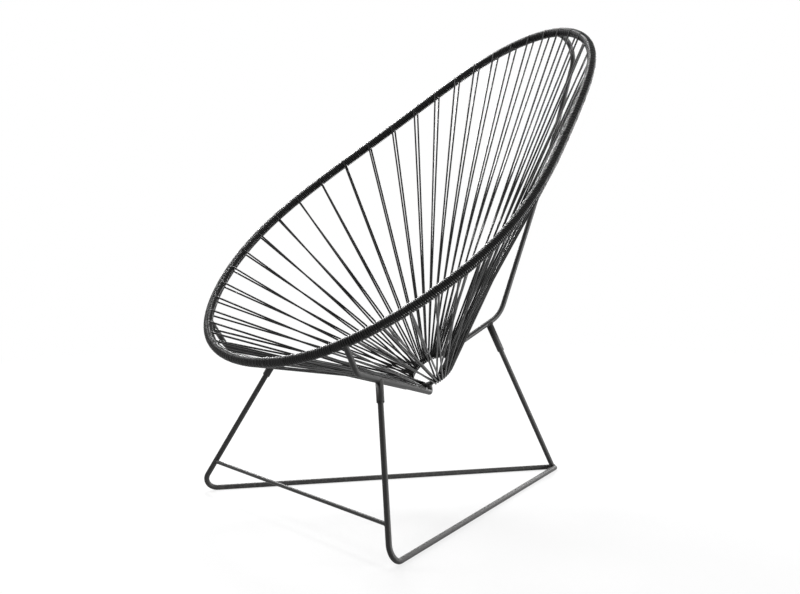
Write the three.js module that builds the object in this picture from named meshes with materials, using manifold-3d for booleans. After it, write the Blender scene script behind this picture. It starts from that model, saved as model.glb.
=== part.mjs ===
// Egg-shaped lounge chair strung with cord. A steel hoop leans back and is wound all round with cord.
// Fifty pairs of strands run from the hoop down to a small ring under the seat and round it.
// Three arms join hoop and ring, and legs of bent rod plug into a sleeve under each arm.
// Millimetres, +Z up. The sitter looks along -Y, so the sitter's left is +X.
import * as THREE from 'three';
import { mergeVertices } from 'three/addons/utils/BufferGeometryUtils.js';
import Module from 'manifold-3d';

const wasm = await Module();
wasm.setup();

// Fits between pieces
const clearance = 0.3; // left between two pieces that touch
const loopGap = 0.2; // between cord loops side by side on the ring, and where a strand crosses itself

// Rods, pipe and cord
const frameDiameter = 10;
const hoopDiameter = 10;
const ringRodDiameter = 8;
const crossbarDiameter = 7;
const sleeveWall = 1.45;
const cordDiameter = 3.7;

// Hoop: an egg outline in a leaning plane, its top curled a little towards the sitter
const rimHalfLength = 469.7; // from the middle to the top, along the lean
const rimHalfWidth = 322.6; // at the middle
const rimShapeShares = [1, -0.405, -0.05, 0.474, 0.151, -0.302]; // of the half width, by powers of height
const rimLean = THREE.MathUtils.degToRad(38);
const rimMidY = -18.4;
const rimMidZ = 586.2;
const rimTopCurl = 18.5;

// Strands
const bayCount = 50; // one pair of strands in the middle of each bay
const baySpreadShare = 0.1; // bays are wider at the top and closer at the front
const baysPerLength = 5;
const armBay = 20; // the front arms meet the hoop between this bay and the next
const ribsPerBay = 3;
const ribDepth = 0.8; // how far the winding dips between two ribs
const armSlant = 1.5; // extra room where a slanting arm comes through the winding

// Ring under the seat
const ringMidY = 19.8;
const ringMidZ = 241.5;
const armLeanRoom = 0.7; // extra room that a leaning arm needs between the loops
const loopStepShare = 0.5; // of the loops' pitch, from a loop's middle to each of its ends
const loopStepRoom = 1.5; // extra room that slanting loops need beside an arm

// Back arm, in the middle plane
const backTopBend = { behind: 68.9, below: 13, radius: 48 }; // from the hoop's top
const backLowBend = { y: 197.8, z: 333, radius: 60 };
const backBow = 9.9; // how far the long stretch between them bows out behind
const backBowShare = 0.457; // where it bows most, counted from the top bend
const backBowRunShare = 0.117; // of the stretch that the bow's arc takes on each side of that place

// Front arms, given for the sitter's left
const stubLength = 17; // drop from the ring to the sharp bend under it
const stubLeanShare = 0.6; // of the way from upright to square on the ring
const stubBendRadius = 8;
const frontBend = { inward: 9.3, behind: 31.6, below: 53.2, radius: 20 }; // from the arm's place on the hoop

// Base
const frontFoot = { x: 300, y: -308.3 }; // where a rail and its leg would meet without the bend
const frontFootRadius = 22;
const rearFootY = 350.5;
const railOverrun = 6; // the rails run on past the rear foot
const crossbarHeight = 61;
const frontSleeveLength = 40;
const rearSleeveLength = 66;
const frontSleeveShare = 0.735; // of the arm from the sharp bend to the front bend
const rearSleeveShare = 0.79; // of the back arm from the ring to the low bend
const legStop = 12; // the legs end this far short of the arm's middle line

// Facets
const rodSides = 12;
const windingSides = 8;
const strandSides = 5;
const bendSteps = 6;
const ringSteps = 40;
const turnSteps = 4; // straight pieces that take a strand round the ring
const crossingTries = 3;

// Radii that follow
const frameRadius = frameDiameter / 2;
const hoopRadius = hoopDiameter / 2;
const ringRodRadius = ringRodDiameter / 2;
const cordRadius = cordDiameter / 2;
const windingRadius = hoopRadius + cordDiameter;
const strandOffset = hoopRadius + clearance + cordRadius; // a strand leaves the hoop in the winding's layer
const loopRadius = ringRodRadius + clearance + cordRadius;
const sleeveBoreRadius = frameRadius + clearance;
const sleeveRadius = sleeveBoreRadius + sleeveWall;
const railHeight = frameRadius * Math.cos(Math.PI / rodSides); // the lowest facet lies on the floor

const rightward = new THREE.Vector3(1, 0, 0);
const upward = new THREE.Vector3(0, 0, 1);
const leanUp = new THREE.Vector3(0, Math.cos(rimLean), Math.sin(rimLean));
const leanOut = new THREE.Vector3(0, -Math.sin(rimLean), Math.cos(rimLean));

const cordMaterial = { color: 0x0d0d0e, roughness: 0.32, metalness: 0 };
const paintMaterial = { color: 0x1c1c1e, roughness: 0.45, metalness: 0.1 };

const chair = new THREE.Group();

// Adds one named piece to the chair
function addPiece(name, geometry, look) {
  const material = new THREE.MeshStandardMaterial(look);
  const mesh = new THREE.Mesh(geometry, material);
  mesh.name = name;
  chair.add(mesh);
}

// Corner points of a section square to a direction. The first flat faces along `first`.
function section(middle, first, second, radius, sides) {
  const points = [];
  for (let i = 0; i < sides; i++) {
    const turn = ((i + 0.5) / sides) * 2 * Math.PI;
    const point = middle.clone();
    point.addScaledVector(first, radius * Math.cos(turn));
    point.addScaledVector(second, radius * Math.sin(turn));
    points.push(point);
  }
  return points;
}

// Pushes the wall between two rows of points, wound so that it faces out along the way
function pushWall(index, from, to, sides) {
  for (let i = 0; i < sides; i++) {
    const next = (i + 1) % sides;
    index.push(from + i, from + next, to + next);
    index.push(from + i, to + next, to + i);
  }
}

function toGeometry(points, index) {
  const geometry = new THREE.BufferGeometry().setFromPoints(points);
  geometry.setIndex(index);
  return geometry;
}

// Closed body through a row of sections, with flat ends unless it joins up with itself
function loft(sections, joined = false) {
  const sides = sections[0].length;
  const rows = sections.length;
  const index = [];
  for (let row = 0; row < rows - 1; row++) {
    pushWall(index, row * sides, (row + 1) * sides, sides);
  }
  if (joined) {
    pushWall(index, (rows - 1) * sides, 0, sides);
  } else {
    const last = (rows - 1) * sides;
    for (let i = 1; i < sides - 1; i++) {
      index.push(0, i + 1, i);
      index.push(last, last + i, last + i + 1);
    }
  }
  return toGeometry(sections.flat(), index);
}

// Body between an outer and an inner row of sections that share their ends' planes
function sleeveLoft(outer, inner) {
  const sides = outer[0].length;
  const innerStart = outer.length * sides;
  const index = [];
  for (let row = 0; row < outer.length - 1; row++) {
    pushWall(index, row * sides, (row + 1) * sides, sides);
  }
  for (let row = 0; row < inner.length - 1; row++) {
    pushWall(index, innerStart + (row + 1) * sides, innerStart + row * sides, sides);
  }
  pushWall(index, innerStart, 0, sides);
  pushWall(index, (outer.length - 1) * sides, innerStart + (inner.length - 1) * sides, sides);
  return toGeometry([...outer, ...inner].flat(), index);
}

// Way of a bent rod: straight between corners, with an arc of its own radius at each inner corner
function bentPath(corners, radii) {
  const directions = corners.slice(1).map((corner, i) => corner.clone().sub(corners[i]).normalize());
  const path = [{ point: corners[0].clone(), tangent: directions[0] }];
  radii.forEach((radius, i) => {
    const before = directions[i];
    const after = directions[i + 1];
    const turn = before.angleTo(after);
    const inward = after.clone().addScaledVector(before, -before.dot(after)).normalize();
    const start = corners[i + 1].clone().addScaledVector(before, -radius * Math.tan(turn / 2));
    const centre = start.clone().addScaledVector(inward, radius);
    for (let step = 0; step <= bendSteps; step++) {
      const angle = (turn * step) / bendSteps;
      const point = centre.clone().addScaledVector(inward, -radius * Math.cos(angle));
      point.addScaledVector(before, radius * Math.sin(angle));
      const tangent = before.clone().multiplyScalar(Math.cos(angle));
      tangent.addScaledVector(inward, Math.sin(angle));
      path.push({ point, tangent });
    }
  });
  path.push({ point: corners[corners.length - 1].clone(), tangent: directions[directions.length - 1] });
  return path;
}

// Rod along a way. Its first flat starts out facing `facing` and is carried along without a twist.
function rod(path, radius, sides, facing) {
  const first = facing.clone().addScaledVector(path[0].tangent, -facing.dot(path[0].tangent)).normalize();
  const turn = new THREE.Quaternion();
  let before = path[0].tangent;
  const sections = path.map(({ point, tangent }) => {
    first.applyQuaternion(turn.setFromUnitVectors(before, tangent));
    before = tangent;
    const second = tangent.clone().cross(first);
    return section(point, first, second, radius, sides);
  });
  return loft(sections);
}

// A cutter's flats, not its corners, keep the clearance
function cutter(path, radius, facing) {
  return rod(path, (radius + clearance) / Math.cos(Math.PI / rodSides), rodSides, facing);
}

function toSolid(geometry) {
  const bare = geometry.clone();
  bare.deleteAttribute('normal');
  bare.deleteAttribute('uv');
  const merged = mergeVertices(bare);
  const vertProperties = new Float32Array(merged.attributes.position.array);
  const triVerts = new Uint32Array(merged.index.array);
  return new wasm.Manifold(new wasm.Mesh({ numProp: 3, vertProperties, triVerts }));
}

function fromSolid(solid) {
  const mesh = solid.getMesh();
  const geometry = new THREE.BufferGeometry();
  geometry.setAttribute('position', new THREE.BufferAttribute(new Float32Array(mesh.vertProperties), 3));
  geometry.setIndex(new THREE.BufferAttribute(new Uint32Array(mesh.triVerts), 1));
  return geometry;
}

function cut(geometry, cutters) {
  return fromSolid(cutters.map(toSolid).reduce((solid, tool) => solid.subtract(tool), toSolid(geometry)));
}

function join(geometries) {
  return fromSolid(geometries.map(toSolid).reduce((solid, other) => solid.add(other)));
}

function mirrored(point) {
  return point.clone().multiply(new THREE.Vector3(-1, 1, 1));
}

// Hoop's middle line. Angle 0 is the top, and angles grow towards the sitter's left.
function rimPoint(angle) {
  const height = Math.cos(angle);
  const swell = rimShapeShares.reduce((sum, share, power) => sum + share * height ** power, 0);
  const curl = (rimTopCurl * height ** 2 * (1 + height)) / 2;
  return new THREE.Vector3(0, rimMidY, rimMidZ)
    .addScaledVector(rightward, rimHalfWidth * Math.sin(angle) * swell)
    .addScaledVector(leanUp, rimHalfLength * height)
    .addScaledVector(leanOut, curl);
}

const angleStep = 1e-4;

function rimSpeed(angle) {
  return rimPoint(angle + angleStep).distanceTo(rimPoint(angle - angleStep)) / (2 * angleStep);
}

// Directions at a place on the hoop: along it, in towards the ring, and across on the sitter's side
function rimAxes(angle) {
  const middle = rimPoint(angle);
  const along = rimPoint(angle + angleStep).sub(rimPoint(angle - angleStep)).normalize();
  const inward = ringMiddle.clone().sub(middle);
  inward.addScaledVector(along, -inward.dot(along)).normalize();
  const across = inward.clone().cross(along);
  return { middle, along, inward, across };
}

function rimSection(angle, radius) {
  const { middle, inward, across } = rimAxes(angle);
  const turned = Math.PI / windingSides; // puts a corner, not a flat, under each strand's end
  const first = inward.clone().multiplyScalar(Math.cos(turned)).addScaledVector(across, Math.sin(turned));
  const second = across.clone().multiplyScalar(Math.cos(turned)).addScaledVector(inward, -Math.sin(turned));
  return section(middle, first, second.negate(), radius, windingSides);
}

// Angle on the hoop of a place counted in bays from the top
function bayAngle(bays) {
  const even = (bays / bayCount) * 2 * Math.PI;
  return even + baySpreadShare * Math.sin(even);
}

// Ring: its size follows from the loops that lie side by side on it and the room for the arms
const loopPitch = cordDiameter + loopGap;
const backRoom = frameDiameter + cordDiameter + 2 * clearance + loopStepRoom;
const armRoom = backRoom + armLeanRoom;
const frontBays = bayCount - 2 * armBay;
const pitchCount = bayCount - 3;
const innerRadius = (pitchCount * loopPitch + backRoom + 2 * armRoom) / (2 * Math.PI);
const ringRadius = innerRadius + loopRadius;
const ringMiddle = new THREE.Vector3(0, ringMidY, ringMidZ);
const armRingAngle = (backRoom / 2 + (armBay - 1) * loopPitch + armRoom / 2) / innerRadius;

function ringAngle(bay) {
  if (bay >= armBay + frontBays) {
    return -ringAngle(bayCount - 1 - bay);
  }
  if (bay >= armBay) {
    return armRingAngle + (armRoom / 2 + (bay - armBay) * loopPitch) / innerRadius;
  }
  return (backRoom / 2 + bay * loopPitch) / innerRadius;
}

function ringPoint(angle) {
  return ringMiddle.clone()
    .addScaledVector(leanUp, ringRadius * Math.cos(angle))
    .addScaledVector(rightward, ringRadius * Math.sin(angle));
}

function ringTangent(angle) {
  return rightward.clone().multiplyScalar(Math.cos(angle)).addScaledVector(leanUp, -Math.sin(angle));
}

function ringSection(angle, radius, sides) {
  const outward = ringPoint(angle).sub(ringMiddle).normalize();
  return section(ringPoint(angle), outward, ringTangent(angle).cross(outward), radius, sides);
}

const ringSections = [];
for (let step = 0; step < ringSteps; step++) {
  ringSections.push(ringSection((step / ringSteps) * 2 * Math.PI, ringRodRadius, windingSides));
}
addPiece('centre_ring', loft(ringSections, true), paintMaterial);

// Cord: ten lengths. Each is wound round its share of the hoop and runs down to the ring from every bay.
// The lengths are parted where an arm comes through to the hoop.
function isArmPlace(bay) {
  return bay % bayCount === 0 || bay === armBay || bay === bayCount - armBay;
}

function partAngle(bay, side) {
  const gap = isArmPlace(bay) ? frameRadius + clearance + armSlant : clearance / 2;
  return bayAngle(bay) + (side * gap) / rimSpeed(bayAngle(bay));
}

// Angles at which the hoop and the bore of one length have their sections
function boreAngles(firstBay) {
  const angles = [partAngle(firstBay, 1)];
  for (let bay = firstBay + 1; bay < firstBay + baysPerLength; bay++) {
    angles.push(bayAngle(bay));
  }
  angles.push(partAngle(firstBay + baysPerLength, -1));
  return angles;
}

function windingGeometry(firstBay) {
  const angles = boreAngles(firstBay);
  const outer = [];
  for (let i = 0; i <= 2 * ribsPerBay * baysPerLength; i++) {
    const bays = firstBay + i / (2 * ribsPerBay);
    const angle = THREE.MathUtils.clamp(bayAngle(bays), angles[0], angles[angles.length - 1]);
    outer.push(rimSection(angle, i % 2 ? windingRadius : windingRadius - ribDepth));
  }
  const boreRadius = (hoopRadius + clearance) / Math.cos(Math.PI / windingSides);
  const inner = angles.map((angle) => rimSection(angle, boreRadius));
  return sleeveLoft(outer, inner);
}

// Distance between the middle lines of a strand's two halves where they cross
function crossingDistance(ends, turnEnds) {
  const [first, second] = ends.map((end, i) => turnEnds[i].clone().sub(end));
  return Math.abs(ends[0].clone().sub(ends[1]).dot(first.cross(second).normalize()));
}

// Ends of a strand at the hoop, stepped apart along it until the two halves pass each other
function hoopEnds(rim, turnEnds) {
  function place(step) {
    return [1, -1].map((side) => {
      const end = rim.middle.clone().addScaledVector(rim.inward, cordRadius);
      end.addScaledVector(rim.along, -side * step);
      return end.addScaledVector(rim.across, side * strandOffset);
    });
  }
  let before = 0;
  let step = cordRadius;
  for (let i = 0; i < crossingTries; i++) {
    const [near, far] = [before, step].map((trial) => crossingDistance(place(trial), turnEnds));
    const change = ((cordDiameter + loopGap - far) * (step - before)) / (far - near);
    before = step;
    step += change;
  }
  return place(step);
}

// Each bay's strand is one unbroken cord. It leaves the hoop on the sitter's side, goes half round the ring
// from behind, and ends on the hoop's other side, so that its two halves cross on the way.
function strandPoints(bay) {
  const rim = rimAxes(bayAngle(bay + 0.5));
  const outward = rim.middle.clone().sub(ringPoint(ringAngle(bay)));
  const ringAlong = ringTangent(ringAngle(bay));
  outward.addScaledVector(ringAlong, -outward.dot(ringAlong)).normalize();
  const across = ringAlong.clone().cross(outward);
  if (across.dot(rim.across) < 0) {
    across.negate();
  }
  const reach = loopRadius / Math.cos(Math.PI / turnSteps / 2);
  const turnPoints = [];
  for (let i = 0; i < turnSteps; i++) {
    const angle = ((i + 0.5) / turnSteps) * Math.PI;
    const step = (2 * i) / (turnSteps - 1) - 1;
    const point = ringPoint(ringAngle(bay) + (step * loopStepShare * loopPitch) / innerRadius);
    point.addScaledVector(across, -reach * Math.cos(angle));
    turnPoints.push(point.addScaledVector(outward, -reach * Math.sin(angle)));
  }
  const [topEnd, lowEnd] = hoopEnds(rim, [turnPoints[0], turnPoints[turnSteps - 1]]);
  return [topEnd, ...turnPoints, lowEnd];
}

// Slides a point along a direction until it reaches a plane
function slideToPlane(point, direction, onPlane, normal) {
  const away = onPlane.clone().sub(point).dot(normal) / direction.dot(normal);
  return point.clone().addScaledVector(direction, away);
}

// Cord along a row of points, mitred at each bend so that it keeps its thickness
function mitredCord(points) {
  const directions = points.slice(1).map((point, i) => point.clone().sub(points[i]).normalize());
  const first = upward.clone().addScaledVector(directions[0], -upward.dot(directions[0])).normalize();
  const second = directions[0].clone().cross(first);
  let corners = section(points[0], first, second, cordRadius, strandSides);
  const sections = [corners];
  for (let i = 1; i < points.length; i++) {
    const normal = directions[i - 1].clone().add(directions[i] ?? directions[i - 1]).normalize();
    corners = corners.map((corner) => slideToPlane(corner, directions[i - 1], points[i], normal));
    sections.push(corners);
  }
  return loft(sections);
}

const strands = Array.from({ length: bayCount }, (unused, bay) => strandPoints(bay));
const hoopSections = [];
for (let firstBay = 0; firstBay < bayCount; firstBay += baysPerLength) {
  const runs = strands.slice(firstBay, firstBay + baysPerLength).map(mitredCord);
  const number = String(firstBay / baysPerLength + 1).padStart(2, '0');
  addPiece(`cord_length_${number}`, join([windingGeometry(firstBay), ...runs]), cordMaterial);
  hoopSections.push(...boreAngles(firstBay).map((angle) => rimSection(angle, hoopRadius)));
}
addPiece('rim_hoop', loft(hoopSections, true), paintMaterial);

// Least gap of a strand to itself and to the next one, measured on points along their middle lines
const gapSamples = 60;

function runSamples(from, to) {
  return Array.from({ length: gapSamples }, (unused, i) => from.clone().lerp(to, i / gapSamples));
}

function leastGap(samplesA, samplesB) {
  let least = Infinity;
  for (const a of samplesA) {
    for (const b of samplesB) {
      least = Math.min(least, a.distanceTo(b));
    }
  }
  return least - cordDiameter;
}

const topRuns = strands.map((points) => runSamples(points[1], points[0]));
const lowRuns = strands.map((points) => runSamples(points[turnSteps], points[turnSteps + 1]));
const ownGap = Math.min(...topRuns.map((run, i) => leastGap(run, lowRuns[i])));
const nextGap = Math.min(
  ...topRuns.map((run, i) => leastGap(run, topRuns[(i + 1) % bayCount])),
  ...lowRuns.map((run, i) => leastGap(run, lowRuns[(i + 1) % bayCount])),
);
console.log(`least gap of a strand to itself ${ownGap.toFixed(2)} mm, to the next ${nextGap.toFixed(2)} mm`);

// Cutters that shape the ends of the arms to the hoop and the ring
function hoopCutter(angle) {
  const { middle, along, inward } = rimAxes(angle);
  const path = [-1, 1].map((side) => {
    return { point: middle.clone().addScaledVector(along, side * frameDiameter), tangent: along };
  });
  return cutter(path, hoopRadius, inward);
}

function ringCutter() {
  const radius = (ringRodRadius + clearance) / Math.cos(Math.PI / rodSides);
  const sections = [];
  for (let step = 0; step < ringSteps; step++) {
    sections.push(ringSection((step / ringSteps) * 2 * Math.PI, radius, rodSides));
  }
  return loft(sections, true);
}

// Back arm: from the hoop's top back and down behind the seat, then forward under it to the ring
const hoopTop = rimPoint(0);
const backTop = hoopTop.clone().add(new THREE.Vector3(0, backTopBend.behind, -backTopBend.below));
const backLow = new THREE.Vector3(0, backLowBend.y, backLowBend.z);
const backStretch = backLow.clone().sub(backTop);
const bowOut = rightward.clone().cross(backStretch).normalize();
const backMiddle = backTop.clone().addScaledVector(backStretch, backBowShare);
backMiddle.addScaledVector(bowOut, backBow);
const bowTurn = backMiddle.clone().sub(backTop).angleTo(backLow.clone().sub(backMiddle));
const bowRadius = (backBowRunShare * backStretch.length()) / Math.tan(bowTurn / 2);
const backCorners = [hoopTop, backTop, backMiddle, backLow, ringPoint(0)];
const backPath = bentPath(backCorners, [backTopBend.radius, bowRadius, backLowBend.radius]);
const backRod = rod(backPath, frameRadius, rodSides, rightward);
addPiece('back_arm', cut(backRod, [hoopCutter(0), ringCutter()]), paintMaterial);

// Front arms: down from the ring, a sharp bend, out under the seat, and up to the hoop
function frontArmCorners() {
  const ringSpot = ringPoint(armRingAngle);
  const along = ringTangent(armRingAngle);
  const stub = upward.clone().addScaledVector(along, -stubLeanShare * upward.dot(along)).normalize();
  const stubFoot = ringSpot.clone().addScaledVector(stub, -stubLength);
  const hoopPlace = rimPoint(bayAngle(armBay));
  const shift = new THREE.Vector3(-frontBend.inward, frontBend.behind, -frontBend.below);
  const front = hoopPlace.clone().add(shift);
  return [ringSpot, stubFoot, front, hoopPlace];
}

const armCorners = frontArmCorners();
const armRadii = [stubBendRadius, frontBend.radius];

// Pipe along a straight line, open at both ends
function pipe(from, to, outerRadius, innerRadius) {
  const tangent = to.clone().sub(from).normalize();
  const first = rightward.clone().addScaledVector(tangent, -rightward.dot(tangent)).normalize();
  const second = tangent.clone().cross(first);
  const bore = innerRadius / Math.cos(Math.PI / rodSides);
  const ends = [from, to];
  return sleeveLoft(
    ends.map((end) => section(end, first, second, outerRadius, rodSides)),
    ends.map((end) => section(end, first, second, bore, rodSides)),
  );
}

function straight(from, to) {
  const tangent = to.clone().sub(from).normalize();
  return [{ point: from, tangent }, { point: to, tangent }];
}

// Base: on each side one rod is rail and front leg, and its leg plugs into the sleeve under the arm
const frontSocket = armCorners[1].clone().lerp(armCorners[2], frontSleeveShare);
const rearSocket = ringPoint(0).lerp(backLow, rearSleeveShare);
const frontCorner = new THREE.Vector3(frontFoot.x, frontFoot.y, railHeight);
const rearCorner = new THREE.Vector3(0, rearFootY, railHeight);
const legDirection = frontSocket.clone().sub(frontCorner).normalize();
const rearLegDirection = rearSocket.clone().sub(rearCorner).normalize();
const legEnd = frontSocket.clone().addScaledVector(legDirection, -legStop);
const besideFoot = new THREE.Vector3(frameRadius + clearance, rearFootY, railHeight);
const railDirection = besideFoot.clone().sub(frontCorner).normalize();
const railEnd = besideFoot.clone().addScaledVector(railDirection, railOverrun);
const railPath = bentPath([railEnd, frontCorner, legEnd], [frontFootRadius]);

const sides = [
  { name: 'left', place: (point) => point.clone() },
  { name: 'right', place: mirrored },
];
const blockSize = 4 * frameDiameter;
const middleBlock = new THREE.BoxGeometry(blockSize, blockSize, blockSize);
middleBlock.translate((clearance - blockSize) / 2, rearFootY, 0);
const legCutters = [];
const railCutters = [];

for (const { name, place } of sides) {
  const placed = (path) => {
    return path.map(({ point, tangent }) => ({ point: place(point), tangent: place(tangent) }));
  };
  const armPath = placed(bentPath(armCorners, armRadii));
  const sleeveFoot = frontSocket.clone().addScaledVector(legDirection, -frontSleeveLength);
  const hoopAngle = bayAngle(name === 'left' ? armBay : bayCount - armBay);
  const armRod = rod(armPath, frameRadius, rodSides, upward);
  const sleeve = pipe(place(sleeveFoot), place(frontSocket), sleeveRadius, sleeveBoreRadius);
  const baseRod = rod(placed(railPath), frameRadius, rodSides, upward);
  addPiece(`front_arm_${name}`, cut(armRod, [hoopCutter(hoopAngle), ringCutter()]), paintMaterial);
  addPiece(`leg_sleeve_${name}`, cut(sleeve, [cutter(armPath, frameRadius, upward)]), paintMaterial);
  const otherSide = middleBlock.clone().rotateZ(name === 'left' ? 0 : Math.PI);
  otherSide.translate(0, name === 'left' ? 0 : 2 * rearFootY, 0);
  addPiece(`base_rod_${name}`, cut(baseRod, [otherSide]), paintMaterial);
  legCutters.push(cutter(placed(straight(frontCorner, legEnd)), frameRadius, rightward));
  railCutters.push(cutter(placed(straight(railEnd, frontCorner)), frameRadius, upward));
}

const rearLegEnd = rearSocket.clone().addScaledVector(rearLegDirection, -legStop);
const rearSleeveFoot = rearSocket.clone().addScaledVector(rearLegDirection, -rearSleeveLength);
const rearSleeve = pipe(rearSleeveFoot, rearSocket, sleeveRadius, sleeveBoreRadius);
addPiece('leg_sleeve_rear', cut(rearSleeve, [cutter(backPath, frameRadius, rightward)]), paintMaterial);
const rearLegFoot = rearCorner.clone().addScaledVector(rearLegDirection, sleeveBoreRadius);
const rearLeg = rod(straight(rearLegFoot, rearLegEnd), frameRadius, rodSides, rightward);
addPiece('rear_leg', cut(rearLeg, railCutters), paintMaterial);

const barShare = (crossbarHeight - railHeight) / (legEnd.z - railHeight);
const barEnd = frontCorner.clone().lerp(legEnd, barShare);
const crossbar = rod(straight(mirrored(barEnd), barEnd), crossbarDiameter / 2, rodSides, upward);
addPiece('base_crossbar', cut(crossbar, legCutters), paintMaterial);

// The chair stands with the middle of its outline over the origin
const outline = new THREE.Box3().setFromObject(chair);
chair.position.y = -(outline.min.y + outline.max.y) / 2;

export default chair;
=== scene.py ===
import bpy
import math
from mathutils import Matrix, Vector


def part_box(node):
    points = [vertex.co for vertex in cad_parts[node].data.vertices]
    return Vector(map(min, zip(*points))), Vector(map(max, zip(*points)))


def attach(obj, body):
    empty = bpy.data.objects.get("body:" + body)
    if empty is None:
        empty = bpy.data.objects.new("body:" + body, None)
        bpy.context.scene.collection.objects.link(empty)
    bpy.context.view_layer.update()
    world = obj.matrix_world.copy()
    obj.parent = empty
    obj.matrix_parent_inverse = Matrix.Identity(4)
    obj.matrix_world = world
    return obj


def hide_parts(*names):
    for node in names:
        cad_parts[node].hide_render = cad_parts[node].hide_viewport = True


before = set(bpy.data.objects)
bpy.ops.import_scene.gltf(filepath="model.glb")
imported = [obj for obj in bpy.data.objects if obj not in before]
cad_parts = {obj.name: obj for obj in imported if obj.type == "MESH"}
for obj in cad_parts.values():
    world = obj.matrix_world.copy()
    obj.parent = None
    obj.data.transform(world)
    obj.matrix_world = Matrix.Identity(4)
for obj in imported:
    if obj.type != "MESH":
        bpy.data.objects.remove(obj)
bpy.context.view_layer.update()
print("frame loaded:", len(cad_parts), "nodes")

# Sizes of pieces are in millimetres, and become metres when a mesh is made.
# Looks, camera, floor and lamps are in metres.
# The sitter looks along -Y, so the sitter's left is +X.
metre = 0.001
right = Vector((1, 0, 0))
up = Vector((0, 0, 1))


# Node trees are written as sums of wires.

class Wire:  # one socket in a node tree
    def __init__(self, graph, socket):
        self.graph = graph
        self.socket = socket

    def of(self, name):  # another output of the same node
        return Wire(self.graph, self.socket.node.outputs[name])

    def maths(self, operation, *values):
        return self.graph.node("ShaderNodeMath", {"operation": operation}, dict(enumerate(values)))

    def __add__(self, other):
        return self.maths("ADD", self, other)

    def __radd__(self, other):
        return self.maths("ADD", other, self)

    def __sub__(self, other):
        return self.maths("SUBTRACT", self, other)

    def __rsub__(self, other):
        return self.maths("SUBTRACT", other, self)

    def __mul__(self, other):
        return self.maths("MULTIPLY", self, other)

    def __rmul__(self, other):
        return self.maths("MULTIPLY", other, self)

    def __truediv__(self, other):
        return self.maths("DIVIDE", self, other)

    def __rtruediv__(self, other):
        return self.maths("DIVIDE", other, self)

    def __pow__(self, other):
        return self.maths("POWER", self, other)

    def clamped(self):
        return self.graph.node("ShaderNodeClamp", {}, {0: self})


class Graph:  # a node tree to add to
    def __init__(self, tree):
        self.tree = tree

    def node(self, kind, settings=None, inputs=None, output=0):
        made = self.tree.nodes.new(kind)
        for name, value in (settings or {}).items():
            if name == "stops":
                for stop, (place, grey) in zip(made.color_ramp.elements, value):
                    stop.position = place
                    stop.color = (grey, grey, grey, 1)
            else:
                setattr(made, name, value)
        for name, value in (inputs or {}).items():
            socket = made.inputs[name]
            if isinstance(value, Wire):
                self.tree.links.new(value.socket, socket)
            elif value is not None:
                socket.default_value = value
        return Wire(self, made.outputs[output] if len(made.outputs) else None)

    def vector(self, operation, *values):
        output = 1 if operation == "DOT_PRODUCT" else 0
        return self.node("ShaderNodeVectorMath", {"operation": operation}, dict(enumerate(values)), output)

    def scaled(self, vector, factor):
        return self.node("ShaderNodeVectorMath", {"operation": "SCALE"}, {0: vector, "Scale": factor})

    def noise(self, where, scale, detail=2.0, roughness=0.5):
        return self.node("ShaderNodeTexNoise", {}, {
            "Vector": where, "Scale": scale, "Detail": detail, "Roughness": roughness})

    def blend(self, factor, first, second):  # two colours
        return self.node("ShaderNodeMix", {"data_type": "RGBA"}, {0: factor, 6: first, 7: second}, 2)

    def ramp(self, value, low, high):
        return self.node("ShaderNodeValToRGB", {"stops": ((low, 0), (high, 1))}, {"Fac": value})


def grey(level, warmth=0.0):
    return (level * (1 + warmth), level, level * (1 - warmth), 1)


# The two looks: painted steel and extruded cord.

def startMaterial(name):
    material = bpy.data.materials.new(name)
    material.use_nodes = True
    graph = Graph(material.node_tree)
    shader = material.node_tree.nodes["Principled BSDF"]
    return material, graph, shader


def finishMaterial(graph, shader, links, constants):
    for name, wire in links.items():
        graph.tree.links.new(wire.socket, shader.inputs[name])
    for name, value in constants.items():
        shader.inputs[name].default_value = value


paintLook = {
    "dark": grey(0.008), "light": grey(0.015, 0.02), "dust": grey(0.16, 0.06),
    "peelScale": 640.0, "peelDetail": 1.0, "peelDepth": 0.000012,
    "patchScale": 9.0, "patchDetail": 4.0,
    "gritScale": 160.0, "gritDetail": 3.0, "gritRoughness": 0.65, "gritHeight": 0.3,
    "scuffHeight": 0.03, "scuffGather": 0.16, "scuffStops": (0.66, 0.74), "scuffShare": 0.12,
    "roughness": 0.48, "roughnessSpread": 0.12, "dustRoughness": 0.5,
    "dustShare": 0.12, "dustPower": 2, "specular": 0.3,
}


def makePaint():
    look = paintLook
    material, graph, shader = startMaterial("satinBlackPaint")
    where = graph.node("ShaderNodeTexCoord", output="Object")
    height = graph.node("ShaderNodeSeparateXYZ", inputs={0: where}, output="Z")
    facing = graph.node("ShaderNodeNewGeometry", output="Normal")
    upward = graph.node("ShaderNodeSeparateXYZ", inputs={0: facing}, output="Z").clamped()
    patches = graph.noise(where, look["patchScale"], look["patchDetail"])
    grit = graph.noise(where, look["gritScale"], look["gritDetail"], look["gritRoughness"])
    nearFloor = (1 - height / look["scuffHeight"]).clamped()
    scuffs = graph.ramp(grit + nearFloor * look["scuffGather"], *look["scuffStops"])
    dust = upward ** look["dustPower"] * patches * look["dustShare"] + scuffs * look["scuffShare"]
    colour = graph.blend(patches, look["dark"], look["light"])
    peel = graph.noise(where, look["peelScale"], look["peelDetail"])
    finishMaterial(graph, shader, {
        "Base Color": graph.blend(dust, colour, look["dust"]),
        "Roughness": look["roughness"] + patches * look["roughnessSpread"] + dust * look["dustRoughness"],
        "Normal": graph.node("ShaderNodeBump", inputs={
            "Strength": 1.0, "Distance": look["peelDepth"], "Height": peel + grit * look["gritHeight"]}),
    }, {"Specular IOR Level": look["specular"]})
    return material


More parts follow.
